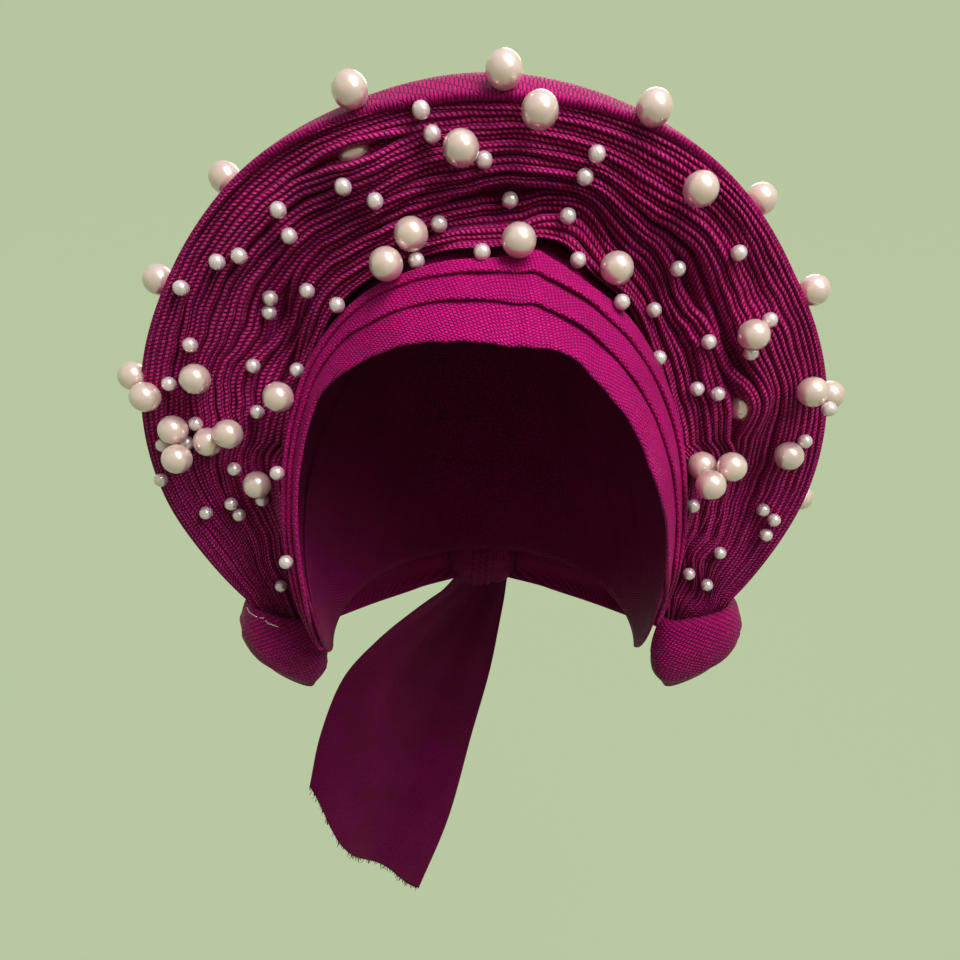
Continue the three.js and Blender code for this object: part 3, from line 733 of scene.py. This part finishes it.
def band_cloths():
    pieces = []
    along = np.linspace(-1, 1, BAND.stations)
    turn = lerp(BAND_ROWS[0].turn, BAND_ROWS[-1].turn, (along + 1) / 2)
    crease = BAND.crease_height * bell(turn, BAND.crease_turn, BAND.crease_spread)
    opened = sum(row.share * bell(turn, row.turn, row.spread) for row in BAND_OPEN)
    taper = smooth(np.abs(along), BAND.taper_from, 1.0)
    turned_back = BAND.end_turn_back * taper
    for fold in BAND_FOLDS:
        sway = BAND.edge_sway * ripple(1, along, waves=(9, 21), seed=fold.seed)[0]
        low = column(BAND_ROWS, "turn", fold.low, turn) + sway
        high = column(BAND_ROWS, "turn", fold.high, turn) + fold.tuck + turned_back
        low = lerp(low + turned_back, high, BAND.end_narrow * taper)
        lift = BAND.first_lift + fold.level * BAND.step * (1 - BAND.end_settle * taper)
        wave = BAND.wave * ripple(1, along, waves=(5, 11, 19), seed=fold.seed + 20)[0]
        cols = []
        for row in BAND_SECTION:
            left = 1 - row.share
            gape = left**3 * fold.gape * opened
            height = lift + BAND.layer * row.layer + gape + wave * left + crease
            cols.append(hollow_point(turn, lerp(low, high, row.share), height))
        points = np.stack(cols, axis=1)
        uv = stack(run(points, 0).mean(axis=1)[:, None], run(points, 1))
        pieces.append(cloth("band_" + fold.name + "_cloth", points, band_cloth, uv, thick=BAND.wall))
    return pieces


WRAP_SIDES = table(
    "name hand reach back_reach seed",
    ("left", -1, 0.957, 0.986, 31),
    ("right", 1, 1.02, 1.005, 32),
)

# A wrap's sheet: its bow and folds, the curl of its edges, and how it is drawn in and gathered at the knot
WRAP = Values(
    stations=150, across=34, tangent_step=0.05, back_rows=(4, 7), lift=1.1, bow=3.0,
    folds=2.5, fold_height=0.7, fold_sway=0.03, fold_range=(-0.35, 0.3), soft=0.45,
    curl=2.6, curl_top=0.06, curl_bottom=0.2, end_drawn=6.0, end_gather=0.12,
    end_rows=2.2, thick=1.0,
)


def wrap_cloth(side):
    last = len(WRAP_ROWS) - 1
    at = np.linspace(0, last, WRAP.stations)

    def value(name, where):
        return column(WRAP_ROWS, "index", name, where)

    def middle(where):
        widen = lerp(side.reach, side.back_reach, smooth(where, *WRAP.back_rows))
        drawn = WRAP.end_drawn * smooth(where, last - 1, last)
        return stack(value("out", where) * widen - drawn, value("y", where))

    step = WRAP.tangent_step
    ahead = unit(middle(np.minimum(at + step, last)) - middle(np.maximum(at - step, 0)))
    outward = stack(ahead[:, 1], -ahead[:, 0])
    s = np.linspace(0, 1, WRAP.across)[None, :]
    along = np.linspace(-1, 1, WRAP.stations)
    sway = WRAP.fold_sway * ripple(1, along, waves=(2, 5), seed=side.seed)[0][:, None]
    arch = np.sin(np.pi * s)
    folds = WRAP.fold_height * np.cos(2 * np.pi * WRAP.folds * (s + sway)) * arch
    folds = folds * smooth(along, *WRAP.fold_range)[:, None]
    soft = WRAP.soft * ripple(WRAP.across, along, waves=(5, 9), seed=side.seed + 5).T * arch
    soft = (soft + np.roll(soft, 1, 1) + np.roll(soft, 2, 1)) / 3
    curl = 2 - smooth(s, 0, WRAP.curl_top) - smooth(1 - s, 0, WRAP.curl_bottom)
    bulge = WRAP.lift + WRAP.bow * arch + folds + soft - WRAP.curl * curl
    place = middle(at)[:, None, :] + outward[:, None, :] * bulge[..., None]
    gather = WRAP.end_gather * smooth(at, last - WRAP.end_rows, last)[:, None]
    height = lerp(value("top", at)[:, None], value("bottom", at)[:, None], lerp(s, 0.5, gather))
    points = stack(side.hand * place[..., 0], place[..., 1], height)
    return cloth("wrap_" + side.name + "_cloth", points, wrap_weave_painted_shade, thick=WRAP.thick)


# The knot's body: its grid, its roundness, its waist, and the folds that run round it
KNOT_BODY = Values(stations=40, sides=72, roundness=2.6, waist=0.2, waist_sharpness=9)
KNOT_FOLDS = table("height count twist", (0.055, 6, 2.2), (0.03, 11, -3.0))

# The turn of cloth over the knot's waist, its radius as a share of the knot's
KNOT_TURN = Values(
    stations=80, across=16, half_width=5.5, slant=1.2, radius=0.93, crown=0.05,
    crimp=0.02, crimps=9, rib=0.05, ribs=1.5, thick=0.8,
)


def knot_cloth():
    x = np.linspace(-1, 1, KNOT_BODY.stations)[:, None]
    theta = np.linspace(0, 2 * np.pi, KNOT_BODY.sides)[None, :]
    profile = np.sqrt(np.maximum(1 - np.abs(x) ** KNOT_BODY.roundness, 0))
    profile = profile * (1 - KNOT_BODY.waist * np.exp(-KNOT_BODY.waist_sharpness * x * x))
    folds = sum(row.height * np.cos(row.count * theta + row.twist * x) for row in KNOT_FOLDS)
    r = profile * (1 + folds)
    points = KNOT.centre + KNOT.half * stack(x, r * np.cos(theta), r * np.sin(theta))
    return cloth("knot_cloth", points, wrap_weave_painted_shade)


def knot_turn():
    around = np.linspace(0, 2 * np.pi, KNOT_TURN.stations)[:, None]
    s = np.linspace(-1, 1, KNOT_TURN.across)[None, :]
    crimp = 1.0 + KNOT_TURN.crimp * np.cos(KNOT_TURN.crimps * around)
    crimp = crimp + KNOT_TURN.rib * np.cos(2 * np.pi * KNOT_TURN.ribs * s)
    r = (KNOT_TURN.radius + KNOT_TURN.crown * np.sqrt(np.maximum(1 - s**4, 0))) * crimp
    x = KNOT_TURN.half_width * s + KNOT_TURN.slant * np.sin(around)
    _, deep, high = KNOT.half
    points = KNOT.centre + stack(x, deep * r * np.cos(around), high * r * np.sin(around))
    return cloth("knot_turn_cloth", points, wrap_weave_painted_shade, thick=KNOT_TURN.thick)


# The tail's sheet: its waves, the finer folds near the knot, and how far it runs up into the knot
TAIL = Values(
    stations=120, across=72, off=0.7, waves=1.5, sway=0.05, sway_rate=1.3,
    sway_start=0.5, fine=0.25, fine_waves=4.0, fine_drift=0.6, fine_rows=(1, 4),
    into_knot=4.0, knot_rows=0.5, thick=0.9,
)


def tail_cloth():
    at = np.linspace(0, len(TAIL_ROWS) - 1, TAIL.stations)[:, None]
    s = np.linspace(0, 1, TAIL.across)[None, :]

    def value(name):
        return column(TAIL_ROWS, "index", name, at)

    sway = TAIL.sway * np.sin(TAIL.sway_rate * at + TAIL.sway_start)
    wave = value("fold") * np.cos(2 * np.pi * TAIL.waves * (s + sway * np.sin(np.pi * s)))
    fine = np.cos(2 * np.pi * TAIL.fine_waves * s + TAIL.fine_drift * at)
    fine = TAIL.fine * value("fold") * fine * (1 - smooth(at, *TAIL.fine_rows))
    up = TAIL.into_knot * (1 - smooth(at, 0, TAIL.knot_rows)) - value("sag") * np.sin(np.pi * s)
    points = stack(
        lerp(value("leftX"), value("rightX"), s),
        value("y") + wave + fine + TAIL.off,
        lerp(value("leftZ"), value("rightZ"), s) + up,
    )
    return cloth("tail_cloth", points, tail_weave_painted_shade, thick=TAIL.thick), points[-2:]


def balls(name, centres, size, material):
    """Many pearls of one size as one mesh."""
    sides, rings = size.sides, size.rings
    theta = np.linspace(0, 2 * np.pi, sides, endpoint=False)
    phi = np.linspace(0, np.pi, rings + 1)[1:-1, None]
    ring = stack(np.sin(phi) * np.cos(theta), np.sin(phi) * np.sin(theta), np.cos(phi))
    ball = np.concatenate([ring.reshape(-1, 3), [[0, 0, 1], [0, 0, -1]]]) * size.radius
    index = np.arange((rings - 1) * sides).reshape(rings - 1, sides)
    after = np.roll(index, -1, axis=1)
    quads = stack(index[:-1], index[1:], after[1:], after[:-1]).reshape(-1, 4)
    top, bottom = len(ball) - 2, len(ball) - 1
    caps = [[top, a, b] for a, b in zip(index[0], after[0])]
    caps += [[bottom, b, a] for a, b in zip(index[-1], after[-1])]
    points, faces = [], []
    for i, centre in enumerate(centres):
        points.append(ball + centre)
        faces += (quads + i * len(ball)).tolist()
        faces += [[v + i * len(ball) for v in cap] for cap in caps]
    return add_piece(name, np.concatenate(points), faces, material)


# A direction that no thread runs along, and the sides of a thread's tube
THREAD_ASIDE = (0.3, 0.9, 0.2)
THREAD_SIDES = 6


def threads(name, paths, radius, material):
    """Fine threads, each a round tube along its path."""
    turn = np.linspace(0, 2 * np.pi, THREAD_SIDES, endpoint=False)[None, :, None]
    points, faces, base = [], [], 0
    for path in paths:
        ahead = np.gradient(path, axis=0)
        across = unit(np.cross(ahead, THREAD_ASIDE))
        up = unit(np.cross(across, ahead))
        round_path = np.cos(turn) * across[:, None] + np.sin(turn) * up[:, None]
        points.append((path[:, None] + radius * round_path).reshape(-1, 3))
        index = base + np.arange(len(path) * THREAD_SIDES).reshape(len(path), THREAD_SIDES)
        after = np.roll(index, -1, axis=1)
        faces += stack(index[:-1], after[:-1], after[1:], index[1:]).reshape(-1, 4).tolist()
        faces += [index[0, ::-1].tolist(), index[-1].tolist()]
        base += len(path) * THREAD_SIDES
    return add_piece(name, np.concatenate(points), faces, material)


# Large pearls, and those of them that lie in openings between pleats: where each shows in the view, and how
# much further back the open folds let it lie than the solids do
PEARL_COUNT = 33
LARGE_PEARL = Values(radius=4.85, sides=28, rings=18)
DEEP_PEARL_ROWS = table("number across down further", (22, 742, 406, 2.0), (23, 354, 152, 1.5))

# Small pearls: size, gap to what they lie on, where their slide along the line of sight starts and ends,
# and where each shows in the view
SMALL_PEARL = Values(
    radius=2.4, sides=18, rings=12, gap=0.05, close=0.03, start=190.0, last=330.0,
    slides=80, settles=40,
)
SMALL_PEARL_ROWS = [
    (421, 110), (432, 134), (484, 160), (597, 154), (585, 177), (343, 187), (375, 201), (278, 210),
    (289, 236), (439, 224), (217, 262), (239, 256), (270, 298), (307, 291), (181, 288), (568, 216),
    (510, 200), (482, 252), (678, 269), (739, 253), (654, 310), (622, 302), (709, 342), (190, 345),
    (253, 366), (169, 384), (257, 412), (234, 469), (231, 504), (239, 515), (206, 513), (277, 473),
    (281, 586), (697, 389), (718, 394), (720, 553), (766, 535), (763, 510), (689, 574), (707, 585),
    (770, 320), (751, 353), (804, 442), (829, 409), (161, 480), (337, 305), (297, 370), (269, 312),
    (286, 562), (659, 358), (693, 506), (774, 520), (197, 429), (187, 443), (163, 445), (262, 500),
    (415, 250), (578, 260),
]

# Small pearls that lie on other pearls, and those that lie behind the band's edge
ON_PEARLS = [(829, 409)]
BEHIND_BAND = [(337, 305), (297, 370), (482, 252), (578, 260), (415, 250), (659, 358), (693, 506)]


def sight_line(across, down):
    right, up = across - SIGHT.centre, SIGHT.centre - down
    cos, sin = math.cos(SIGHT.pitch), math.sin(SIGHT.pitch)
    return unit(np.array([right, SIGHT.focal * cos + up * sin, up * cos - SIGHT.focal * sin]))


def tree_of(pieces):
    points, faces = [], []
    for piece in pieces:
        mesh = piece.data
        flat = np.empty(len(mesh.vertices) * 3, np.float32)
        mesh.vertices.foreach_get("co", flat)
        base = sum(len(p) for p in points)
        points.append(flat.reshape(-1, 3) / MM)
        faces += [[v + base for v in polygon.vertices] for polygon in mesh.polygons]
    return BVHTree.FromPolygons(np.concatenate(points).tolist(), faces)


def large_pearl_places(nodes):
    """The middles of the solids' pearls, with those in openings moved back along the line of sight."""
    places = []
    for node in nodes:
        low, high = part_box(node)
        places.append((np.array(low) + np.array(high)) / 2 / MM)
    for row in DEEP_PEARL_ROWS:
        places[row.number - 1] += sight_line(row.across, row.down) * row.further
    return places


def small_pearl_places(pleats, cloths, large):
    """Slides each small pearl back along its line of sight to the cloth, beside any pearl already there."""
    behind, before = tree_of([pleats]), tree_of([pleats, *cloths])
    radius, gap = SMALL_PEARL.radius, SMALL_PEARL.gap
    placed = [(centre, LARGE_PEARL.radius + radius + gap) for centre in large]
    found = []
    for seen in SMALL_PEARL_ROWS:
        way = sight_line(*seen)
        place = SIGHT.eye + way * SMALL_PEARL.start
        tree = behind if seen in BEHIND_BAND else before
        stops = placed if seen in ON_PEARLS else []
        for _ in range(SMALL_PEARL.slides):
            room = tree.find_nearest(Vector(place))[3] - radius - gap
            room = min([room, *[np.linalg.norm(place - centre) - apart for centre, apart in stops]])
            if room < SMALL_PEARL.close or np.linalg.norm(place - SIGHT.eye) > SMALL_PEARL.last:
                break
            place = place + way * room
        for _ in range(SMALL_PEARL.settles):
            for centre, apart in placed:
                away = place - centre
                if np.linalg.norm(away) < apart:
                    place = centre + unit(away) * apart
            if stops:
                continue
            near, _, _, distance = tree.find_nearest(Vector(place))
            place = np.array(near) + (place - np.array(near)) / distance * (radius + gap)
        placed.append((place, 2 * radius + gap))
        found.append(place)
    return found


# Stitches on the left wrap: where each shows in the view, from end to end
STITCH = Values(radius=0.22, off=0.62, stations=9)
STITCH_ROWS = [
    [(247.6, 608.7), (250.3, 613.6), (257.2, 617.9)],
    [(260.3, 618.6), (262.4, 618.9), (264.5, 619.0)],
    [(265.6, 621.3), (270.0, 623.5), (279.0, 626.7)],
]


def stitch_paths(wrap):
    tree = tree_of([wrap])
    paths = []
    for row in STITCH_ROWS:
        ends = np.array(row)
        at = np.linspace(0, len(row) - 1, STITCH.stations)
        path = []
        for across, down in zip(*[np.interp(at, np.arange(len(row)), ends[:, i]) for i in (0, 1)]):
            way = sight_line(across, down)
            place, normal = tree.ray_cast(Vector(SIGHT.eye), Vector(way))[:2]
            if place is not None:
                off = np.array(normal) * -np.sign(np.dot(normal, way))
                path.append(np.array(place) + off * STITCH.off)
        if len(path) > 1:
            paths.append(np.array(path))
    return paths


# Loose thread ends under the tail's hem; each starts in the cloth, at root times its length
FRAY = Values(count=120, length=(0.8, 2.6), root=-0.4, stations=5, stray=0.12, radius=0.16)


def fray_paths(rows):
    """Loose thread ends, from the sheet's last two rows."""
    rng = np.random.default_rng(17)
    hem = rows[-1]
    away = unit(rows[-1] - rows[-2])
    paths = []
    for _ in range(FRAY.count):
        at = rng.uniform(0, len(hem) - 1)
        root, lead = [[np.interp(at, np.arange(len(hem)), v[:, i]) for i in range(3)] for v in (hem, away)]
        length = rng.uniform(*FRAY.length)
        t = np.linspace(FRAY.root, 1, FRAY.stations)[:, None] * length
        stray = rng.normal(0, FRAY.stray, 3)
        paths.append(np.array(root) + t * np.array(lead) + t * t * stray)
    return paths


# Pieces
fan = fan_cloth()
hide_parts("fan_pleats")
cover = cover_cloth()
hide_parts("back_cover")
cap = cap_cloth()
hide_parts("crown_cap")
bands = band_cloths()
for piece, fold in zip(bands, BAND_FOLDS):
    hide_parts("band_fold_" + fold.name)
wraps = [wrap_cloth(side) for side in WRAP_SIDES]
for piece, side in zip(wraps, WRAP_SIDES):
    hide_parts("side_wrap_" + side.name)
knot = knot_cloth()
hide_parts("nape_knot")
knot_band = knot_turn()
tail, tail_hem = tail_cloth()
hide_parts("tail")

large_nodes = ["pearl_%02d" % (i + 1) for i in range(PEARL_COUNT)]
large_places = large_pearl_places(large_nodes)
large = balls("pearls_large", large_places, LARGE_PEARL, ivory)
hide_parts(*large_nodes)
small_places = small_pearl_places(fan, [*bands, *wraps], large_places)
small = balls("pearls_small", small_places, SMALL_PEARL, lilac)

stitches = threads("stitches", stitch_paths(wraps[0]), STITCH.radius, white_thread)
fray = threads("tail_fray", fray_paths(tail_hem), FRAY.radius, tail_weave_painted_shade)

cloths = [fan, cover, cap, *bands, *wraps, knot_band, tail]
for piece in [*cloths, knot, stitches, fray]:
    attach(piece, "root")
for piece in [large, small]:
    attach(piece, "root")


def area(piece):
    """Area of a piece's sheet before it gets its thickness, in square metres."""
    return sum(polygon.area for polygon in piece.data.polygons)


HELD = [
    (fan, "gathered", "crown_cap"),
    (cover, "stretched", "crown_cap"),
    (cap, "stretched", "band_fold_lower"),
    (bands[0], "folded", "crown_cap"),
    (bands[1], "folded", "band_fold_lower"),
    (bands[2], "folded", "band_fold_middle"),
    (wraps[0], "folded", "back_cover"),
    (wraps[1], "folded", "back_cover"),
    (knot_band, "folded", "nape_knot"),
    (tail, "hung", "nape_knot"),
]
for piece, held, carrier in HELD:
    width, length = FLAT[piece.name]
    share = min(1.0, area(piece) / (width * length))


# The stage: a pale floor that bends up into a wall all round, in metres, with its own glow
STAGE = Values(
    floor=-0.62, middle=0.5, flat=1.0, bend=0.8, top=1.9, bend_steps=14, sides=97,
    colour=(0.03, 0.036, 0.022), glow=15.3,
)


def plain(name, colour, glow):
    material, tree, shader = new_material(name)
    feed(tree, shader, {
        "Base Color": (*colour, 1), "Roughness": 0.9, "Specular IOR Level": 0.1,
        "Emission Color": (*[c * glow for c in colour], 1), "Emission Strength": 1.0,
    })
    return material


def studio():
    floor, flat, bend = STAGE.floor, STAGE.flat, STAGE.bend
    turn = np.linspace(0, math.pi / 2, STAGE.bend_steps)
    profile = [(0.0, floor), (STAGE.middle, floor), (flat, floor)]
    profile += [(flat + bend * math.sin(a), floor + bend * (1 - math.cos(a))) for a in turn[1:]]
    profile += [(flat + bend, STAGE.top)]
    radius, height = np.array(profile).T
    around = np.linspace(0, 2 * math.pi, STAGE.sides)[:, None]
    grid = stack(np.cos(around) * radius, np.sin(around) * radius, height)
    stage = cloth("studio_floor", grid / MM, plain("pale_floor", STAGE.colour, STAGE.glow))
    stage.visible_diffuse = False


studio()

# Soft lights: place, aim and size in metres, power in watts
LIGHT_ROWS = table(
    "name place aim size power colour",
    ("key_light", (0.18, -0.32, 0.43), (0, -0.05, -0.05), 0.25, 2.75, (1.0, 0.98, 0.95)),
    ("front_light", (0.34, -0.46, 0.30), (0, 0, 0.02), 0.3, 1.35, (1, 1, 1)),
    ("fill_light", (-0.9, -0.8, 0.35), (0, 0, -0.12), 0.9, 0.2, (1, 1, 1)),
    ("back_light", (0.4, 1.2, 0.9), (0, 0, -0.1), 0.9, 4.0, (1, 1, 1)),
)
for row in LIGHT_ROWS:
    light = bpy.data.lights.new(row.name, "AREA")
    light.shape = "DISK"
    light.size = row.size
    light.energy = row.power
    light.color = row.colour
    lamp = bpy.data.objects.new(row.name, light)
    lamp.location = row.place
    lamp.rotation_euler = (Vector(row.aim) - Vector(row.place)).to_track_quat("-Z", "Y").to_euler()
    scene.collection.objects.link(lamp)

# Air that is bright above and dim below
world = bpy.data.worlds.new("studio_air")
scene.world = world
world.use_nodes = True
air = world.node_tree
aim = add_node(air, "TexCoord", {}).outputs["Generated"]
height = add_node(air, "SeparateXYZ", {0: aim}).outputs["Z"]
brightness = {"Value": height, "From Min": -0.4, "From Max": 0.9, "To Min": 0.06, "To Max": 0.55}
level = add_node(air, "MapRange", brightness).outputs["Result"]
feed(air, air.nodes["Background"], {"Color": (0.93, 1.0, 0.93, 1), "Strength": level})

view = bpy.data.cameras.new("front_view")
view.sensor_width = SENSOR
view.lens = SENSOR * SIGHT.focal / PICTURE
view.clip_start = 0.01
camera = bpy.data.objects.new("front_view", view)
camera.location = SIGHT.eye * MM
camera.rotation_euler = (math.pi / 2 - SIGHT.pitch, 0, 0)
scene.collection.objects.link(camera)
scene.camera = camera
scene.view_settings.view_transform = "Standard"
